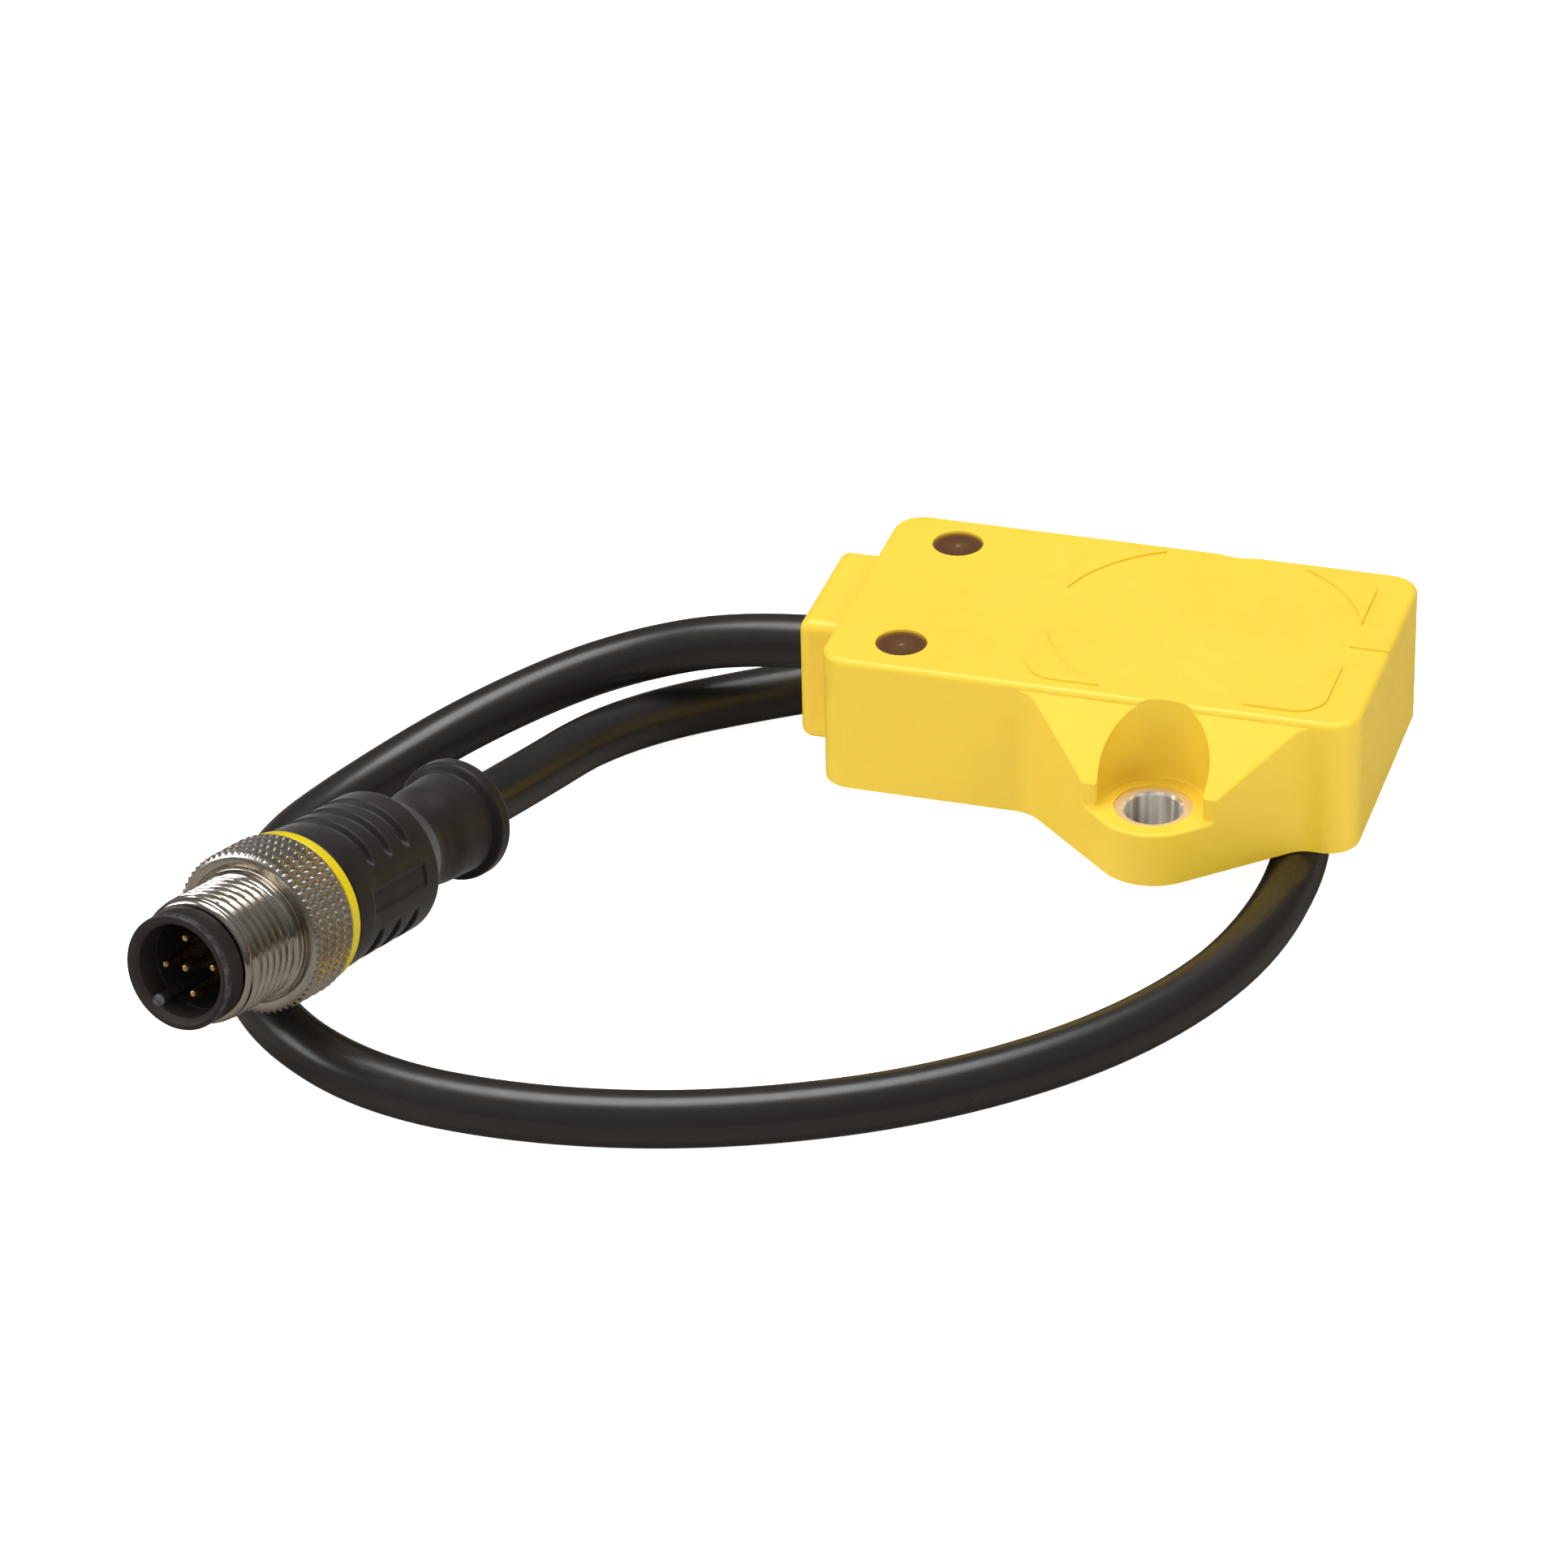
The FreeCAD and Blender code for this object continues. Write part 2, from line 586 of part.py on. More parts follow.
def plug_lead(index):
    """Bared core from a solder cup to the end of the cable."""
    x, y = pin_places()[index]
    share = 0 if index == 0 else CORE_CIRCLE_RADIUS / PIN_CIRCLE_RADIUS
    start = V(x, y, CARRIER_LENGTH + 3.0)
    end = V(x * share, y * share, FLANGE_REAR - CABLE_IN_PLUG)
    run = end - start
    lead = Part.makeCylinder(0.45, run.Length + 2, start - run.normalize(), run)
    between = block((-9, 9), (-9, 9), (start.z, end.z))
    return in_plug(lead.common(between))


def plug_leads():
    return Part.makeCompound([plug_lead(index) for index in range(5)])


def grip_groove(distance, side):
    """Curved finger groove over the upper (1) or lower (-1) third of the grip."""
    half = GROOVE_WIDTH / 2
    cutter = ring(GRIP_RADIUS + 1, GRIP_RADIUS - GROOVE_DEPTH, distance - half, distance + half)
    return cutter.common(block((-12, 12), sorted((side * GRIP_RADIUS / 2, side * 12)), (0, 60)))


def plug_grip():
    """Soft overmoulding: ribbed grip, neck, cable sleeve and end flange."""
    grip = turned([(PREMOULD_RADIUS, RING_REAR), (GRIP_RIM_RADIUS - 0.2, RING_REAR),
                   (GRIP_RIM_RADIUS, RING_REAR + 0.25), (GRIP_RIM_RADIUS, 21.0), (GRIP_RADIUS, 22.5),
                   (GRIP_RADIUS, GRIP_REAR - 1.5), (GRIP_RADIUS - 0.3, GRIP_REAR - 0.6),
                   (GRIP_RADIUS - 1.0, GRIP_REAR), (NECK_RADIUS + 0.7, GRIP_REAR + 0.9),
                   (NECK_RADIUS, 36.0), (NECK_RADIUS, 38.2), (TAIL_RADIUS - 0.1, 40.2),
                   (TAIL_RADIUS, 43.5), (FLANGE_RADIUS - 0.2, FLANGE_FRONT),
                   (FLANGE_RADIUS, FLANGE_FRONT + 0.25), (FLANGE_RADIUS, FLANGE_FRONT + 0.9),
                   (FLANGE_RADIUS - 0.35, FLANGE_REAR), (CABLE_RADIUS, FLANGE_REAR),
                   (CABLE_RADIUS, FLANGE_REAR - CABLE_IN_PLUG),
                   (PREMOULD_TAIL_RADIUS, FLANGE_REAR - CABLE_IN_PLUG), (PREMOULD_TAIL_RADIUS, 34.0),
                   (PREMOULD_RADIUS, 29.5)])
    for side in (-1, 1):
        for distance in GROOVE_PLACES:
            grip = grip.cut(grip_groove(distance, side))
    plate = block((-GRIP_RADIUS - 1, -GRIP_RADIUS + PLATE_DEPTH), (-PLATE_WIDTH / 2, PLATE_WIDTH / 2),
                  (PLATE_PLACE - PLATE_LENGTH / 2, PLATE_PLACE + PLATE_LENGTH / 2))
    grip = grip.cut(plate)
    grip.rotate(V(0, 0, 0), UP, PIN_ROLL)
    return in_plug(grip)


# ---------------------------------------------------------------- the whole sensor
CORE_COLOURS = ["brown", "white", "blue", "black", "grey"]


def pieces():
    """Every node of the sensor, by name."""
    sleeve, window, light = mounting_sleeve(), status_window(), status_light()
    nodes = {
        "housing_shell": housing_shell(),
        "base_cover": base_cover(),
        "potting_compound": potting_compound(),
        "cable_entry_block": cable_entry_block(),
        "mounting_sleeve_front": sleeve,
        "mounting_sleeve_rear": mirrored(sleeve),
        "status_window_front": window,
        "status_window_rear": mirrored(window),
        "status_light_front": light,
        "status_light_rear": mirrored(light),
        "circuit_board": circuit_board(),
        "coil_board": coil_board(),
        "emitter_coil": emitter_coil(),
        "receiver_coils": receiver_coils(),
        "coil_link_pins": link_pins(),
        "position_chip": chip((7.0, 7.0), 1.0, 0.0, 0.0),
        "output_driver_chip": chip((5.0, 4.0), 1.6, -12.5, 7.0),
        "voltage_regulator": chip((4.5, 3.6), 1.6, -12.5, -7.0),
        "protection_diodes": chip_row((2.6, 1.5), 1.1, -18.0, -7.0, (0, 2.2), 3),
        "capacitors": chip_row((1.6, 0.8), 0.8, 7.0, -6.0, (0, 2.0), 7),
        "resistors": chip_row((1.6, 0.8), 0.45, 10.5, -6.0, (0, 2.0), 7),
        "solder_pads": solder_pads(),
        "cable_jacket": tube(cable_route(), CABLE_RADIUS, "cable"),
        "contact_carrier": contact_carrier(),
        "coupling_nut": coupling_nut(),
        "marking_ring": marking_ring(),
        "plug_core": plug_core(),
        "plug_leads": plug_leads(),
        "plug_grip": plug_grip(),
    }
    for index, colour in enumerate(CORE_COLOURS):
        nodes["core_" + colour] = housing_core(index)
        nodes[f"contact_pin_{index + 1}"] = contact_pin(index)
    return nodes


def main():
    os.makedirs("parts", exist_ok=True)
    for name, shape in sorted(pieces().items()):
        save(name, shape)
        print(f"{name}: solids {len(shape.Solids)}, {shape.Volume:.2f} mm3, valid {shape.isValid()}")


main()
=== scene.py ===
"""Looks of an inductive rotary position sensor with a moulded cable and a round five-pin plug."""

import json
import math

import bmesh
import bpy
from mathutils import Matrix, Quaternion, Vector


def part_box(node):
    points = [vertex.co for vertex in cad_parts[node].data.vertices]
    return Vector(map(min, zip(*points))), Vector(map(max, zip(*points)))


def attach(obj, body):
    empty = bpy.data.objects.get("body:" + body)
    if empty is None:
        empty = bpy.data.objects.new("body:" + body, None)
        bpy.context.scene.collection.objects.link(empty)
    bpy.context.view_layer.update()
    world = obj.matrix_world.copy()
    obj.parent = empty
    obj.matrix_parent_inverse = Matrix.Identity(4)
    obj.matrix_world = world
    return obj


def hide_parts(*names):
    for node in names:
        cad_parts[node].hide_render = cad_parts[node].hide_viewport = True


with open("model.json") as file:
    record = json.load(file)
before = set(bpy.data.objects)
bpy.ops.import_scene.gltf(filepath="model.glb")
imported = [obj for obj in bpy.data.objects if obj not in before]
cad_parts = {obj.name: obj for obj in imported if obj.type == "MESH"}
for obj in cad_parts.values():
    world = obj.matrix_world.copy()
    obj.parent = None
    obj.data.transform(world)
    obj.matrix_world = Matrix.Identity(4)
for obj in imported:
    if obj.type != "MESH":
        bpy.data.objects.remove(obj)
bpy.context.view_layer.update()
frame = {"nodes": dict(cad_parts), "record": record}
scene = bpy.context.scene
record = frame["record"]

# The object's sizes are in millimetres, and ROW takes them to metres in the row frame.  Camera, floor
# and lights are in metres.
MM = 0.001
ROW = Matrix.Scale(MM, 4)


# ---------------------------------------------------------------- camera
def place_camera():
    """View from the front right and above, through a long lens, a little rolled."""
    heading, height, roll = math.radians(17.567), math.radians(30.987), math.radians(-1.408)
    forward = Vector((-math.sin(heading) * math.cos(height), math.cos(heading) * math.cos(height),
                      -math.sin(height)))
    lens = bpy.data.cameras.new("camera")
    lens.sensor_width = 36.0
    lens.lens = 147.79
    lens.clip_start, lens.clip_end = 0.02, 20.0
    camera = bpy.data.objects.new("camera", lens)
    camera.location = (0.122905, -0.522292, 0.305007)
    camera.rotation_mode = "QUATERNION"
    camera.rotation_quaternion = forward.to_track_quat("-Z", "Y") @ Quaternion((0, 0, 1), roll)
    scene.collection.objects.link(camera)
    scene.camera = camera


place_camera()


# ---------------------------------------------------------------- where the plug lies
def plug_frame():
    """Matrix from the plug's own frame (mm, nose at 0, Z towards the cable) to the row frame."""
    mount = next(m for m in record["mounts"] if m["name"] == "m12_plug")
    axis = -Vector(mount["axis"]).normalized()
    upward = (Vector((0, 0, 1)) - axis * axis.z).normalized()
    sideways = upward.cross(axis)
    turn = Matrix((sideways, upward, axis)).transposed().to_4x4()
    return Matrix.Translation(mount["pos_m"]) @ turn @ Matrix.Scale(MM, 4)


PLUG = plug_frame()
# How far the pins, the key and the grip's plate are turned about the plug's axis, and the key's place.
PIN_ROLL = math.radians(-11.9)
KEY_FRONT, KEY_RADIUS, KEY_CIRCLE = 0.9, 0.6, 4.3


def on_plug_axis(distance):
    """Point on the plug's axis, in the row frame, that far from its nose."""
    return PLUG @ Vector((0, 0, distance))


def key_place():
    """Centre of the socket's coding key across the plug."""
    angle = PIN_ROLL - math.pi / 4
    return KEY_CIRCLE * math.cos(angle), KEY_CIRCLE * math.sin(angle)


# ---------------------------------------------------------------- materials
class Finish:
    """A Principled material, and short calls for the nodes that feed it."""

    def __init__(self, name, **fixed):
        self.material = bpy.data.materials.new(name)
        self.material.use_nodes = True
        self.tree = self.material.node_tree
        self.shader = self.tree.nodes["Principled BSDF"]
        self.place = self.add("ShaderNodeTexCoord").outputs["Object"]
        self.normal = None
        for socket, value in fixed.items():
            self.shader.inputs[socket.replace("_", " ")].default_value = value

    def add(self, kind, links=(), **values):
        """New node; values go to its sockets by name, links to their sources."""
        node = self.tree.nodes.new(kind)
        for socket, value in values.items():
            node.inputs[socket].default_value = value
        for socket, source in dict(links).items():
            self.tree.links.new(source, node.inputs[socket])
        return node

    def noise(self, per_mm, detail=3.0, stretch=None):
        """Noise with about that many features per millimetre."""
        place = self.place
        if stretch:
            node = self.add("ShaderNodeMapping", {"Vector": place}, Scale=stretch)
            place = node.outputs["Vector"]
        node = self.add("ShaderNodeTexNoise", {"Vector": place}, Scale=per_mm / MM, Detail=detail)
        return node.outputs["Fac"]

    def spread(self, factor, low, high, start=0.3, end=0.7):
        """The factor's stretch from start to end, spread evenly from low to high."""
        node = self.add("ShaderNodeMapRange", {"Value": factor})
        for socket, value in (("From Min", start), ("From Max", end), ("To Min", low), ("To Max", high)):
            node.inputs[socket].default_value = value
        return node.outputs["Result"]

    def ramp(self, factor, stops):
        """Colour ramp through (position, (r, g, b)) stops."""
        node = self.add("ShaderNodeValToRGB", {"Fac": factor})
        elements = node.color_ramp.elements
        while len(elements) < len(stops):
            elements.new(0.5)
        for element, (position, colour) in zip(elements, stops):
            element.position = position
            element.color = (*colour, 1.0)
        return node.outputs["Color"]

    def blend(self, factor, first, second):
        """Colour that goes from the first to the second as the factor goes from 0 to 1."""
        node = self.add("ShaderNodeMix")
        node.data_type = "RGBA"
        self.tree.links.new(factor, node.inputs[0])
        self.tree.links.new(first, node.inputs[6])
        self.tree.links.new(second, node.inputs[7])
        return node.outputs[2]

    def feed(self, socket, source):
        self.tree.links.new(source, self.shader.inputs[socket])

    def bump(self, height, depth):
        """Adds relief of that depth in millimetres; several calls pile up."""
        node = self.add("ShaderNodeBump", {"Height": height}, Distance=depth * MM)
        if self.normal:
            self.tree.links.new(self.normal, node.inputs["Normal"])
        self.normal = node.outputs["Normal"]
        self.feed("Normal", self.normal)

    def product(self, first, second):
        """First times second, which is a number or another node's output."""
        node = self.add("ShaderNodeMath", {0: first})
        node.operation = "MULTIPLY"
        if isinstance(second, float):
            node.inputs[1].default_value = second
        else:
            self.tree.links.new(second, node.inputs[1])
        return node.outputs["Value"]

    def away_from(self, centre):
        """Distance in millimetres from a point given in millimetres."""
        node = self.add("ShaderNodeVectorMath", {0: self.place})
        node.operation = "DISTANCE"
        node.inputs[1].default_value = ROW @ Vector(centre)
        return self.product(node.outputs["Value"], 1 / MM)


def moulded(name, dark, light, rough, grain=2.5, depth=0.012, **fixed):
    """Moulded plastic: two close shades in broad clouds, a fine grain, uneven gloss."""
    finish = Finish(name, **fixed)
    clouds = finish.noise(0.06, 4.0)
    finish.feed("Base Color", finish.ramp(clouds, [(0.3, dark), (0.7, light)]))
    finish.feed("Roughness", finish.spread(finish.noise(0.5, 5.0), *rough))
    finish.bump(finish.noise(0.15, 2.0), depth * 4)
    finish.bump(finish.noise(grain, 4.0), depth)
    return finish.material


def metal(name, dark, light, rough):
    """Metal: two close shades in clouds, uneven gloss and a very slight waviness."""
    finish = Finish(name, Metallic=1.0)
    clouds = finish.noise(0.4, 4.0)
    finish.feed("Base Color", finish.ramp(clouds, [(0.3, dark), (0.7, light)]))
    finish.feed("Roughness", finish.spread(finish.noise(2.0, 6.0), *rough))
    finish.bump(finish.noise(1.2, 5.0), 0.004)
    return finish.material


def sleeve_steel():
    """Turned stainless steel: a flat rim tinted by a painted yellow reflection, and painted bright and dark
    reflections in bands down the bore.
    """
    finish = Finish("steel_sleeve", Metallic=0.55)
    facing = finish.add("ShaderNodeTexCoord").outputs["Normal"]
    upward = finish.add("ShaderNodeSeparateXYZ", {"Vector": facing}).outputs["Z"]
    # The bore's bright and dark vertical streaks are painted reflections of the studio, not the steel's own
    # colour.
    reflection_streaks = finish.noise(0.7, 1.0, (1, 1, 0.02))
    bore = finish.ramp(reflection_streaks, [(0.36, (0.26, 0.24, 0.22)), (0.46, (0.80, 0.78, 0.74)),
                                 (0.56, (1.0, 0.98, 0.95)), (0.66, (0.50, 0.47, 0.43))])
    # The rim's copper-yellow tint is a painted reflection of the yellow housing around it.
    rim = finish.ramp(finish.noise(0.3), [(0.3, (0.80, 0.62, 0.40)), (0.7, (0.86, 0.68, 0.46))])
    finish.feed("Base Color", finish.blend(finish.spread(upward, 0.0, 1.0, 0.75, 0.95), bore, rim))
    finish.feed("Roughness", finish.spread(finish.noise(1.0, 3.0, (1, 1, 0.1)), 0.20, 0.30))
    finish.bump(finish.noise(3.0, 3.0, (1, 1, 0.1)), 0.001)
    return finish.material


def nickel():
    """Nickel plating: bright on the thread and its collar, duller over the knurl."""
    finish = Finish("nickel", Metallic=1.0)
    clouds = finish.noise(0.4, 4.0)
    finish.feed("Base Color", finish.ramp(clouds, [(0.3, (0.58, 0.53, 0.46)), (0.7, (0.70, 0.65, 0.58))]))
    from_nose = finish.away_from(PLUG.to_translation() / MM)
    knurled = finish.spread(from_nose, 0.0, 1.0, 12.9, 13.3)
    bright = finish.ramp(finish.noise(2.0, 6.0), [(0.3, (0.08, 0.08, 0.08)), (0.7, (0.20, 0.20, 0.20))])
    dull = finish.ramp(finish.noise(2.0, 6.0), [(0.3, (0.24, 0.24, 0.24)), (0.7, (0.34, 0.34, 0.34))])
    finish.feed("Roughness", finish.blend(knurled, bright, dull))
    finish.bump(finish.noise(1.2, 5.0), 0.0015)
    return finish.material


def smoked_window():
    """Smoked light window: dark in the middle, amber where the yellow housing shows at its rim."""
    low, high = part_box("status_window_front")
    middle = (low + high) / 2 / MM
    finish = Finish("smoked_window", Coat_Weight=0.6, Coat_Roughness=0.08, IOR=1.45)
    sides = []
    for side in (1, -1):
        sides.append(finish.away_from((middle.x, middle.y * side, 0.0)))
    nearest = finish.add("ShaderNodeMath", {0: sides[0], 1: sides[1]})
    nearest.operation = "MINIMUM"
    share = finish.spread(nearest.outputs["Value"], 0.0, 1.0, 0.0, 3.2)
    smoke = finish.ramp(share, [(0.0, (0.125, 0.052, 0.014)), (0.5, (0.085, 0.032, 0.009)),
                                (0.68, (0.10, 0.038, 0.010)), (0.8, (0.22, 0.10, 0.018))])
    lamp = finish.ramp(share, [(0.06, (0.30, 0.17, 0.09)), (0.14, (0.125, 0.052, 0.014))])
    finish.feed("Base Color", finish.blend(finish.spread(share, 1.0, 0.0, 0.08, 0.16), smoke, lamp))
    finish.feed("Roughness", finish.spread(finish.noise(0.6), 0.12, 0.24))
    finish.bump(finish.noise(0.4, 2.0), 0.02)
    return finish.material


def carrier():
    """Black insert: a mouth painted a little lighter as light in its socket, a front edge worn pale with a
    painted highlight along it, and a painted highlight on the end of its coding key.
    """
    finish = Finish("carrier_black", Specular_IOR_Level=0.22)
    from_nose = finish.away_from(PLUG.to_translation() / MM)
    from_key = finish.away_from(PLUG @ Vector((*key_place(), KEY_FRONT)) / MM)
    # Pale patches along the lip's outer edge: partly wear, partly a painted highlight where the edge
    # catches light.
    patches = finish.spread(finish.noise(1.4, 6.0), 0.08, 0.6, 0.38, 0.66)
    edge = finish.ramp(finish.spread(from_nose, 0.0, 1.0, 5.0, 6.0),
                       [(0.32, (0, 0, 0)), (0.39, (1, 1, 1)), (0.46, (1, 1, 1)), (0.52, (0, 0, 0))])
    worn_and_highlit_edge = finish.product(edge, patches)
    plain = finish.ramp(finish.noise(0.1, 4.0),
                        [(0.3, (0.014, 0.011, 0.010)), (0.7, (0.021, 0.017, 0.0155))])
    # Pale grey, used for the worn and highlit edge, and on the coding key's front end as a painted
    # highlight.
    pale = finish.ramp(finish.noise(2.0), [(0.3, (0.07, 0.066, 0.068)), (0.7, (0.13, 0.125, 0.13))])
    # Painted light: the socket's mouth is coloured a little lighter than the outer skin to stand for light
    # inside it.
    mouth = finish.ramp(finish.noise(0.5), [(0.3, (0.022, 0.0175, 0.0155)), (0.7, (0.029, 0.0235, 0.021))])
    inside = finish.spread(from_nose, 1.0, 0.0, 4.85, 5.1)
    skin = finish.blend(inside, finish.blend(worn_and_highlit_edge, plain, pale), mouth)
    # The coding key's front end is painted pale grey: a painted highlight where its face catches light.
    finish.feed("Base Color", finish.blend(finish.spread(from_key, 1.0, 0.0, 0.45, 0.65), skin, pale))
    finish.feed("Roughness", finish.spread(finish.noise(0.5, 5.0), 0.40, 0.56))
    finish.bump(finish.noise(2.0, 4.0), 0.014)
    return finish.material


def circuit_green():
    """Solder mask over copper tracks."""
    finish = Finish("board_green", Coat_Weight=0.5, Coat_Roughness=0.2)
    tracks = finish.add("ShaderNodeTexBrick", {"Vector": finish.place}, Scale=350.0)
    tracks.inputs["Color1"].default_value = (0.006, 0.085, 0.030, 1)
    tracks.inputs["Color2"].default_value = (0.008, 0.100, 0.036, 1)
    tracks.inputs["Mortar"].default_value = (0.012, 0.150, 0.050, 1)
    finish.feed("Base Color", tracks.outputs["Color"])
    finish.feed("Roughness", finish.spread(finish.noise(0.5), 0.25, 0.4))
    finish.bump(tracks.outputs["Fac"], 0.03)
    return finish.material


def yellow(name):
    """The housing's satin yellow plastic."""
    return moulded(name, (0.765, 0.520, 0.036), (0.805, 0.555, 0.044), (0.38, 0.5), 3.0, 0.008,
                   IOR=1.48, Subsurface_Weight=0.06, Subsurface_Scale=0.0006)


FINISHES = {
    "yellow_housing": yellow("yellow_housing"),
    "yellow_cover": yellow("yellow_cover"),
    "yellow_entry": yellow("yellow_entry"),
    "potting_resin": moulded("potting_resin", (0.030, 0.030, 0.032), (0.045, 0.045, 0.048), (0.2, 0.4),
                             0.5),
    "steel_sleeve": sleeve_steel(),
    "smoked_window": smoked_window(),
    "lamp_resin": moulded("lamp_resin", (0.75, 0.72, 0.60), (0.85, 0.82, 0.70), (0.1, 0.2), 1.0, 0.004),
    "board_green": circuit_green(),
    "copper": metal("copper", (0.60, 0.25, 0.12), (0.75, 0.35, 0.18), (0.25, 0.4)),
    "tinned_metal": metal("tinned_metal", (0.62, 0.62, 0.60), (0.75, 0.75, 0.73), (0.25, 0.45)),
    "chip_black": moulded("chip_black", (0.010, 0.010, 0.011), (0.018, 0.018, 0.019), (0.45, 0.6)),
    "capacitor_tan": moulded("capacitor_tan", (0.30, 0.18, 0.09), (0.38, 0.24, 0.13), (0.35, 0.5)),
    "core_brown": moulded("core_brown", (0.10, 0.035, 0.012), (0.13, 0.05, 0.018), (0.35, 0.5)),
    "core_white": moulded("core_white", (0.75, 0.75, 0.72), (0.82, 0.82, 0.80), (0.35, 0.5)),
    "core_blue": moulded("core_blue", (0.015, 0.06, 0.35), (0.02, 0.09, 0.45), (0.35, 0.5)),
    "core_black": moulded("core_black", (0.010, 0.010, 0.010), (0.02, 0.02, 0.02), (0.35, 0.5)),
    "core_grey": moulded("core_grey", (0.22, 0.22, 0.22), (0.30, 0.30, 0.30), (0.35, 0.5)),
    "cable_black": moulded("cable_black", (0.0125, 0.0105, 0.0098), (0.0150, 0.0128, 0.0120), (0.27, 0.32),
                           1.0, 0.002, Specular_IOR_Level=0.5),
    "carrier_black": carrier(),
    "yellow_ring": moulded("yellow_ring", (0.64, 0.50, 0.006), (0.71, 0.56, 0.010), (0.25, 0.38),
                           2.0, 0.006),
    "inner_moulding": moulded("inner_moulding", (0.03, 0.03, 0.03), (0.05, 0.05, 0.05), (0.4, 0.55)),
    "grip_black": moulded("grip_black", (0.0085, 0.0060, 0.0052), (0.0130, 0.0095, 0.0084), (0.40, 0.54),
                          2.2, 0.014, Specular_IOR_Level=0.32, Sheen_Weight=0.25, Sheen_Roughness=0.35),
    "gold": metal("gold", (0.80, 0.52, 0.20), (0.95, 0.68, 0.32), (0.16, 0.30)),
    "nickel": nickel(),
}

for entry in record["subparts"]:
    node = frame["nodes"][entry["node"]]
    node.data.materials.clear()
    node.data.materials.append(FINISHES[entry["material_slot"]])


# ---------------------------------------------------------------- making pieces
def piece(name, shape, body, slot, stands_for, sharp=35.0):
    """A mesh piece from (vertices, faces), cleaned, smooth but for sharp edges, on its CAD body."""
    mesh = bpy.data.meshes.new(name)
    mesh.from_pydata(shape[0], [], shape[1])
    work = bmesh.new()
    work.from_mesh(mesh)
    bmesh.ops.remove_doubles(work, verts=work.verts, dist=0.0005 * MM)
    loose = [edge for edge in work.edges if not edge.link_faces]
    bmesh.ops.delete(work, geom=loose, context="EDGES")
    bmesh.ops.recalc_face_normals(work, faces=work.faces)
    work.to_mesh(mesh)
    work.free()
    mesh.shade_smooth()
    mesh.set_sharp_from_angle(angle=math.radians(sharp))
    mesh.materials.append(FINISHES[slot])
    made = bpy.data.objects.new(name, mesh)
    scene.collection.objects.link(made)
    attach(made, body)
    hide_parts(*stands_for)
    return made


def turned(outline, segments, skin=None, centre=(0.0, 0.0)):
    """Shape turned about the plug's axis, or about an axis beside it.

    outline holds (distance, radius) pairs round a closed section.  Where a radius is None the point
    is on the outer skin, and skin(distance, angle) gives it.
    """
    vertices, faces = [], []
    for distance, radius in outline:
        for k in range(segments):
            angle = 2 * math.pi * k / segments
            reach = skin(distance, angle) if radius is None else radius
            x = centre[0] + reach * math.cos(angle)
            y = centre[1] + reach * math.sin(angle)
            vertices.append(PLUG @ Vector((x, y, distance)))
    for row in range(len(outline)):
        here = row * segments
        there = (row + 1) % len(outline) * segments
        for k in range(segments):
            after = (k + 1) % segments
            faces.append((here + k, here + after, there + after, there + k))
    return vertices, faces


def joined(*shapes):
    """Several shapes as one."""
    vertices, faces = [], []
    for some_vertices, some_faces in shapes:
        offset = len(vertices)
        vertices += some_vertices
        faces += [tuple(index + offset for index in face) for face in some_faces]
    return vertices, faces


def softened(outline, radius, steps=4):
    """The outline with each inner corner rounded; the first and last points stay."""
    points = [Vector(point) for point in outline]
    result = [tuple(points[0])]
    for before, here, after in zip(points, points[1:], points[2:]):
        first = here + (before - here).normalized() * min(radius, (before - here).length / 2)
        last = here + (after - here).normalized() * min(radius, (after - here).length / 2)
        for k in range(steps + 1):
            t = k / steps
            point = first * (1 - t) ** 2 + here * 2 * t * (1 - t) + last * t ** 2
            result.append(tuple(point))
    result.append(tuple(points[-1]))
    return result


def stations(start, end, step):
    """Evenly spaced distances from start to end, about a step apart."""
    count = max(1, round((end - start) / step))
    return [start + (end - start) * k / count for k in range(count + 1)]


def between(value, low, high):
    """0 below low, 1 above high, a smooth rise in between."""
    t = min(1.0, max(0.0, (value - low) / (high - low)))
    return t * t * (3 - 2 * t)


def along(points, value):
    """Straight interpolation through (position, value) points."""
    for (x0, y0), (x1, y1) in zip(points, points[1:]):
        if value <= x1:
            return y0 + (y1 - y0) * (value - x0) / (x1 - x0)
    return points[-1][1]


# ---------------------------------------------------------------- cable
CABLE_RADIUS = 2.65
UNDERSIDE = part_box("base_cover")[0].z / MM
# Heights of the cable's middle line: under the housing, and where it leaves the block.
LOW = UNDERSIDE - 0.1 - CABLE_RADIUS
CABLE_Z = UNDERSIDE + 7.0
CABLE_END_IN_PLUG = 39.1


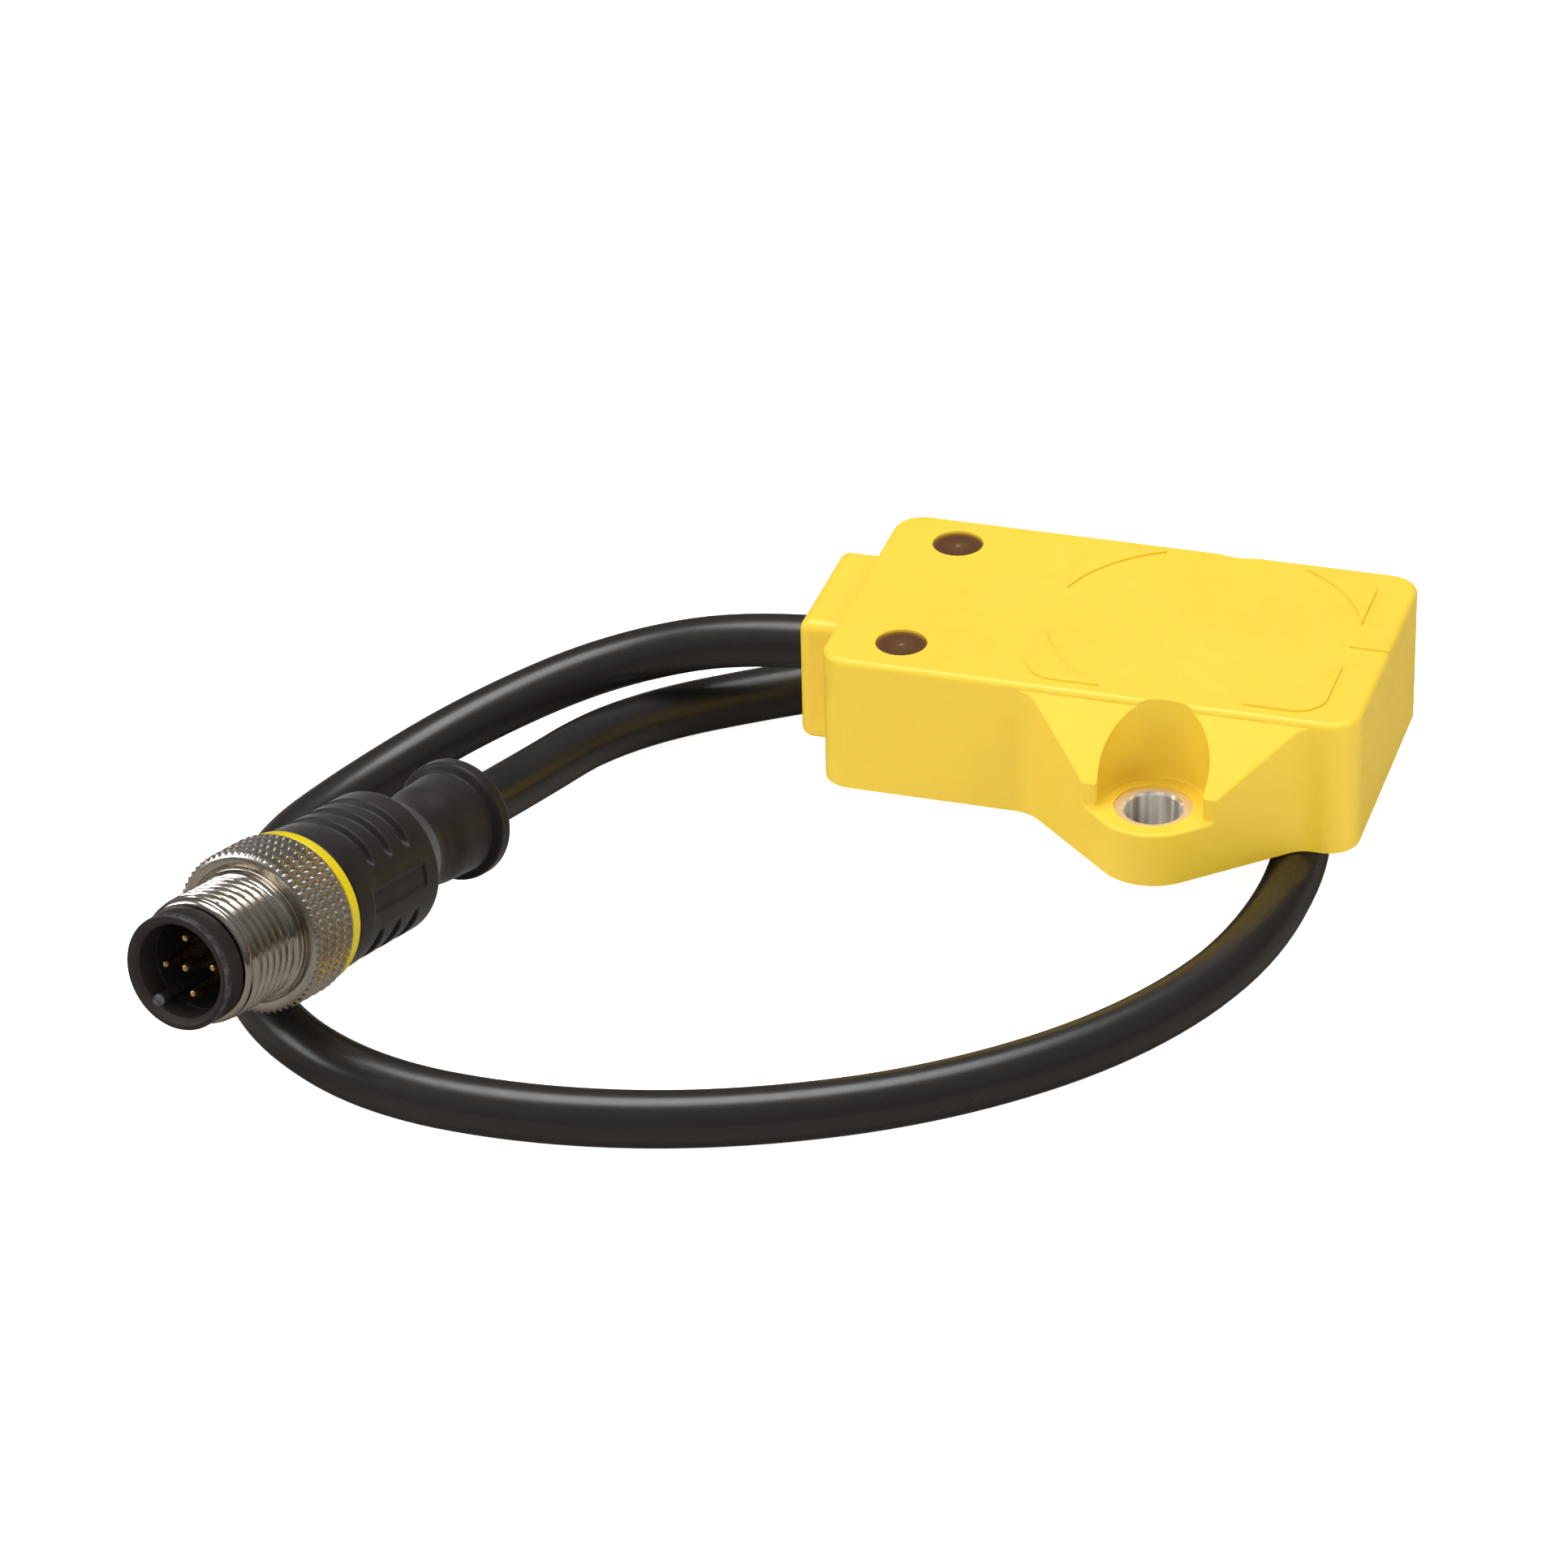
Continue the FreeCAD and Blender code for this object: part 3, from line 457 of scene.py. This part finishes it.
def cable():
    """The cable's one smooth line, from inside the housing round to inside the plug."""
    route = [(-31.25, 0.0, CABLE_Z), (-44.0, 0.0, CABLE_Z), (-58.7, -1.9, LOW + 6.0),
             (-70.5, -10.5, LOW + 2.3), (-78.8, -23.3, LOW), (-82.7, -36.3, LOW), (-80.2, -52.4, LOW),
             (-72.2, -64.4, LOW), (-59.6, -71.8, LOW), (-43.5, -72.6, LOW), (-26.6, -68.7, LOW),
             (-9.5, -59.7, LOW), (4.6, -45.7, LOW), (12.6, -28.0, LOW), (12.8, -5.8, LOW),
             (4.8, 8.4, LOW), (-9.2, 16.7, LOW), (-25.4, 16.9, LOW), (-42.7, 7.1, LOW),
             (-57.5, -6.4, LOW + 1.2)]
    points = [ROW @ Vector(point) for point in route]
    points += [on_plug_axis(56.0), on_plug_axis(CABLE_END_IN_PLUG)]
    curve = bpy.data.curves.new("cable", "CURVE")
    curve.dimensions = "3D"
    curve.bevel_depth = CABLE_RADIUS * MM
    curve.bevel_resolution = 8
    curve.resolution_u = 10
    curve.use_fill_caps = True
    line = curve.splines.new("NURBS")
    line.points.add(len(points) - 1)
    for control, point in zip(line.points, points):
        control.co = (*point, 1.0)
    line.order_u = 3
    line.use_endpoint_u = True
    curve.materials.append(FINISHES["cable_black"])
    made = bpy.data.objects.new("cable", curve)
    scene.collection.objects.link(made)
    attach(made, "sensor")
    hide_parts("cable_jacket")
    return made


# ---------------------------------------------------------------- plug
# Distances are from the plug's nose and radii from its axis.
NUT_FRONT, NUT_REAR, NUT_BORE = 2.95, 17.15, 4.95
THREAD_ROOT, THREAD_CREST, THREAD_PITCH = 5.45, 6.0, 1.0
THREAD_START, THREAD_END = 3.5, 10.5
KNURL_RADIUS, KNURL_DEPTH, KNURL_TEETH, KNURL_STEP = 7.8, 0.26, 66, 1.25
NICK_DEPTH = 0.12
KNURL_FRONT, KNURL_REAR = 11.15, 16.77
SOCKET_RADIUS, LIP_RADIUS = 4.4, 5.44
PIN_CIRCLE = 2.63
GRIP_START, GRIP_RADIUS = 18.4, 7.05
GROOVES, GROOVE_DEPTH = (23.0, 25.9, 28.8), 0.6
PLATE_MIDDLE, PLATE_DEPTH = 25.7, 0.2


def triangle(value):
    """Wave of period 1 that falls from 1 at whole numbers to 0 halfway between them."""
    return abs(value % 1.0 - 0.5) * 2


def thread_skin(distance, angle):
    """Outer radius of a right-hand thread that grows out of a plain lead-in band."""
    turn = (distance - THREAD_START) / THREAD_PITCH - angle / (2 * math.pi)
    run_out = between(distance, THREAD_END - 0.5, THREAD_END)
    tooth = between(0.80 - triangle(turn), 0.0, 0.72) * (1 - run_out)
    crest = along([(NUT_FRONT, 5.5), (NUT_FRONT + 0.12, 5.72), (NUT_FRONT + 0.35, 5.88),
                   (4.2, THREAD_CREST)], distance)
    groove = (THREAD_CREST - THREAD_ROOT) * between(distance, THREAD_START, THREAD_START + 0.9)
    return crest - groove * (1 - tooth)


def knurl_skin(distance, angle):
    """Outer radius over the knurl, straight ridges nicked both ways aslant, and its two chamfers."""
    around = KNURL_TEETH * angle / (2 * math.pi)
    forward = (distance - KNURL_FRONT) / KNURL_STEP
    nick = 1 - min(1.0, 2.0 * min(triangle(around + forward), triangle(around - forward)))
    knurled = KNURL_RADIUS - KNURL_DEPTH * (1 - triangle(around)) - NICK_DEPTH * nick
    chamfer = along([(KNURL_FRONT, 7.32), (KNURL_FRONT + 0.3, KNURL_RADIUS), (KNURL_REAR, KNURL_RADIUS),
                     (NUT_REAR, 7.35)], distance)
    return min(knurled, chamfer)


def nut_skin(distance, angle):
    """Outer radius of the whole nut; between thread and knurl its outline is plain."""
    return thread_skin(distance, angle) if distance < KNURL_FRONT else knurl_skin(distance, angle)


def coupling_nut():
    """Nut with its thread, run-out groove and knurl; the mesh follows the knurl's own lattice."""
    skin = [(NUT_FRONT, 5.05), (NUT_FRONT, 5.4)]
    skin += [(s, None) for s in stations(NUT_FRONT + 0.02, THREAD_END, 1 / 16)]
    skin += [(10.65, 5.48), (10.8, 5.6), (10.9, 5.78), (10.96, 6.0), (10.98, 6.16), (11.0, 6.2),
             (11.05, 6.23), (11.2, 6.26), (11.24, 6.3), (11.24, 6.42), (11.2, 6.47), (11.1, 6.5),
             (11.07, 6.56), (11.09, 6.9), (11.12, 7.25)]
    skin += [(s, None) for s in stations(KNURL_FRONT, KNURL_FRONT + 0.3125, KNURL_STEP / 24)]
    skin += [(s, None) for s in stations(KNURL_FRONT + 0.46875, KNURL_REAR, KNURL_STEP / 8)]
    skin += [(s, None) for s in stations(KNURL_REAR + 0.05, NUT_REAR, 0.05)]
    inside = [(NUT_REAR, 7.3), (NUT_REAR, 6.3), (12.2, 6.3), (12.2, NUT_BORE), (NUT_FRONT + 0.1, NUT_BORE)]
    shape = turned(skin + inside, KNURL_TEETH * 8, nut_skin)
    return piece("coupling_nut_detailed", shape, "coupling_nut_body", "nickel", ["coupling_nut"], 40.0)


def pin_places():
    """Centres of the five pins across the plug, the middle one first."""
    places = [(0.0, 0.0)]
    for k in range(4):
        angle = PIN_ROLL + math.pi / 2 * k
        places.append((PIN_CIRCLE * math.cos(angle), PIN_CIRCLE * math.sin(angle)))
    return places


def contact_carrier():
    """Black insert with a rounded lip, a deep socket and the coding key on its wall."""
    section = [(8.5, 0.0), (8.5, SOCKET_RADIUS), (0.6, SOCKET_RADIUS), (0.03, 4.9), (0.03, 5.3),
               (0.16, LIP_RADIUS), (2.75, LIP_RADIUS), (2.75, 4.85), (12.4, 4.85), (12.4, 6.0),
               (15.0, 6.0), (15.0, 5.6), (GRIP_START, 5.6), (GRIP_START, 0.0)]
    body = turned(softened(section, 0.13), 160)
    key_section = [(KEY_FRONT, 0.0), (KEY_FRONT, KEY_RADIUS), (8.8, KEY_RADIUS), (8.8, 0.0)]
    key = turned(softened(key_section, 0.15), 32, centre=key_place())
    return piece("contact_carrier_detailed", joined(body, key), "sensor", "carrier_black",
                 ["contact_carrier"])


def contact_pins():
    """Five gold pins with rounded tips; the middle one reaches further forward."""
    made = []
    for index, centre in enumerate(pin_places()):
        tip = 1.3 if index == 0 else 1.9
        section = [(tip, 0.0), (tip, 0.24), (tip + 0.22, 0.38), (tip + 1.0, 0.5), (18.6, 0.5), (18.6, 0.8),
                   (21.6, 0.8), (21.6, 0.0)]
        outline = softened(section, 0.16, 6)
        name = f"contact_pin_{index + 1}"
        made.append(piece(name + "_detailed", turned(outline, 28, centre=centre), "sensor", "gold", [name]))
    return made


def marking_ring():
    """Yellow ring between nut and grip, with soft edges."""
    section = [(17.2, 5.6), (17.2, 7.49), (GRIP_START, 7.49), (GRIP_START, 5.6)]
    return piece("marking_ring_detailed", turned(softened(section, 0.18), 160), "sensor", "yellow_ring",
                 ["marking_ring"])


# Outline of grip, shoulder, waisted neck, tail and flange, as (distance, radius).
GRIP_LINE = [(18.4, 6.85), (18.6, 6.98), (19.0, 7.14), (21.0, 7.13), (22.5, 7.04), (31.9, 7.02),
             (32.3, 6.85), (32.5, 6.5), (32.8, 6.2), (36.0, 4.62), (37.0, 4.5), (38.3, 4.55),
             (40.2, 4.84), (43.6, 4.95), (44.3, 5.0), (44.42, 5.5), (44.62, 5.80), (44.8, 5.86),
             (45.9, 5.88), (46.1, 5.80), (46.25, 5.55)]
TAIL_END = GRIP_LINE[-1][0]


def grip_skin(distance, angle):
    """Outer radius of the grip, with three finger grooves above and below and a blank plate."""
    window = [along(GRIP_LINE, distance + 0.03 * k) for k in range(-3, 4)]
    radius = sum(window) / len(window)
    own = angle - PIN_ROLL
    from_top = math.degrees(math.acos(abs(math.sin(own))))
    for place in GROOVES:
        reach = 60.0 + 6.0 * (1 - (2 * (distance - place)) ** 2)
        across = 1 - between(abs(distance - place), 0.3, 0.8)
        radius -= GROOVE_DEPTH * across * (1 - between(from_top, reach - 7.0, reach))
    if 20.5 < distance < 31.0 and math.cos(own) < -0.9:
        off = GRIP_RADIUS * math.sin(own)
        beside = between(abs(off), 0.9, 1.04)
        beyond = between(abs(distance - PLATE_MIDDLE), 4.15, 4.33)
        radius -= PLATE_DEPTH * (1 - beside) * (1 - beyond)
    return radius


def plug_grip():
    """Black overmoulding, hollow where the insert and the cable end in it."""
    skin = [(GRIP_START, 6.6)]
    skin += [(s, None) for s in stations(GRIP_START + 0.02, 33.0, 0.09)]
    skin += [(s, None) for s in stations(33.15, 43.6, 0.3)]
    skin += [(s, None) for s in stations(43.7, TAIL_END, 0.06)]
    inside = [(TAIL_END, CABLE_RADIUS), (CABLE_END_IN_PLUG, CABLE_RADIUS), (CABLE_END_IN_PLUG, 3.6),
              (34.0, 3.6), (29.5, 5.6), (GRIP_START, 5.6)]
    shape = turned(skin + inside, 240, grip_skin)
    return piece("plug_grip_detailed", shape, "sensor", "grip_black", ["plug_grip"], 60.0)


# ---------------------------------------------------------------- floor, lights, background
def build_floor():
    """Pale floor, white to the eye, dimmer in the pieces' reflections and clear from below."""
    level = (LOW - CABLE_RADIUS) * MM
    half = 4.0
    mesh = bpy.data.meshes.new("floor")
    corners = [(-half, -half, level), (half, -half, level), (half, half, level), (-half, half, level)]
    mesh.from_pydata(corners, [], [(0, 1, 2, 3)])
    floor = bpy.data.objects.new("floor", mesh)
    scene.collection.objects.link(floor)
    finish = Finish("floor", Roughness=0.9, Specular_IOR_Level=0.2)
    rays = finish.add("ShaderNodeLightPath")
    pale = finish.ramp(finish.noise(0.002), [(0.3, (0.88, 0.88, 0.88)), (0.7, (0.90, 0.90, 0.90))])
    mirrored = finish.ramp(finish.noise(0.002), [(0.3, (0.20, 0.18, 0.16)), (0.7, (0.22, 0.20, 0.18))])
    finish.feed("Base Color", finish.blend(rays.outputs["Is Glossy Ray"], pale, mirrored))
    finish.shader.inputs["Emission Color"].default_value = (1, 1, 1, 1)
    finish.feed("Emission Strength", finish.spread(rays.outputs["Is Camera Ray"], 0.0, 0.85, 0.0, 1.0))
    tree = finish.tree
    seen_from = tree.nodes.new("ShaderNodeNewGeometry")
    clear = tree.nodes.new("ShaderNodeBsdfTransparent")
    mix = tree.nodes.new("ShaderNodeMixShader")
    output = tree.nodes["Material Output"]
    tree.links.new(seen_from.outputs["Backfacing"], mix.inputs["Fac"])
    tree.links.new(finish.shader.outputs["BSDF"], mix.inputs[1])
    tree.links.new(clear.outputs["BSDF"], mix.inputs[2])
    tree.links.new(mix.outputs["Shader"], output.inputs["Surface"])
    mesh.materials.append(finish.material)


def softbox(name, place, target, size, power, mirrored=True):
    """Area light; a fill light that isn't mirrored stays out of the metal's reflections."""
    light = bpy.data.lights.new(name, "AREA")
    light.shape = "RECTANGLE"
    light.size, light.size_y = size
    light.energy = power
    lamp = bpy.data.objects.new(name, light)
    lamp.location = place
    lamp.rotation_mode = "QUATERNION"
    lamp.rotation_quaternion = (Vector(target) - Vector(place)).to_track_quat("-Z", "Y")
    lamp.visible_glossy = mirrored
    scene.collection.objects.link(lamp)


def build_sky():
    """White backdrop to the eye; what the pieces reflect is dim at the horizon and brighter overhead."""
    world = bpy.data.worlds.new("studio")
    scene.world = world
    world.use_nodes = True
    tree = world.node_tree
    place = tree.nodes.new("ShaderNodeTexCoord")
    split = tree.nodes.new("ShaderNodeSeparateXYZ")
    ramp = tree.nodes.new("ShaderNodeValToRGB")
    ramp.color_ramp.elements[0].position = 0.0
    ramp.color_ramp.elements[0].color = (0.05, 0.045, 0.04, 1)
    ramp.color_ramp.elements[1].position = 0.9
    ramp.color_ramp.elements[1].color = (0.25, 0.25, 0.25, 1)
    backdrop = tree.nodes.new("ShaderNodeBackground")
    rays = tree.nodes.new("ShaderNodeLightPath")
    mix = tree.nodes.new("ShaderNodeMixShader")
    tree.links.new(place.outputs["Generated"], split.inputs["Vector"])
    tree.links.new(split.outputs["Z"], ramp.inputs["Fac"])
    tree.links.new(ramp.outputs["Color"], tree.nodes["Background"].inputs["Color"])
    tree.links.new(rays.outputs["Is Camera Ray"], mix.inputs["Fac"])
    tree.links.new(tree.nodes["Background"].outputs["Background"], mix.inputs[1])
    tree.links.new(backdrop.outputs["Background"], mix.inputs[2])
    tree.links.new(mix.outputs["Shader"], tree.nodes["World Output"].inputs["Surface"])
    backdrop.inputs["Color"].default_value = (1, 1, 1, 1)


cord = cable()
nut = coupling_nut()
plug_pieces = [contact_carrier(), *contact_pins(), marking_ring(), plug_grip(), nut]

build_floor()
build_sky()
aim = (-0.03, -0.03, -0.01)
softbox("overhead", (-0.12, 0.12, 0.75), aim, (0.6, 0.45), 5.6)
softbox("left", (-0.70, -0.25, 0.35), aim, (0.3, 0.4), 1.8)
softbox("front_fill", (-0.20, -0.90, 0.40), aim, (0.8, 0.5), 5.0, mirrored=False)
softbox("right_fill", (0.80, -0.20, 0.40), aim, (0.5, 0.5), 3.5, mirrored=False)
scene.view_settings.view_transform = "Standard"
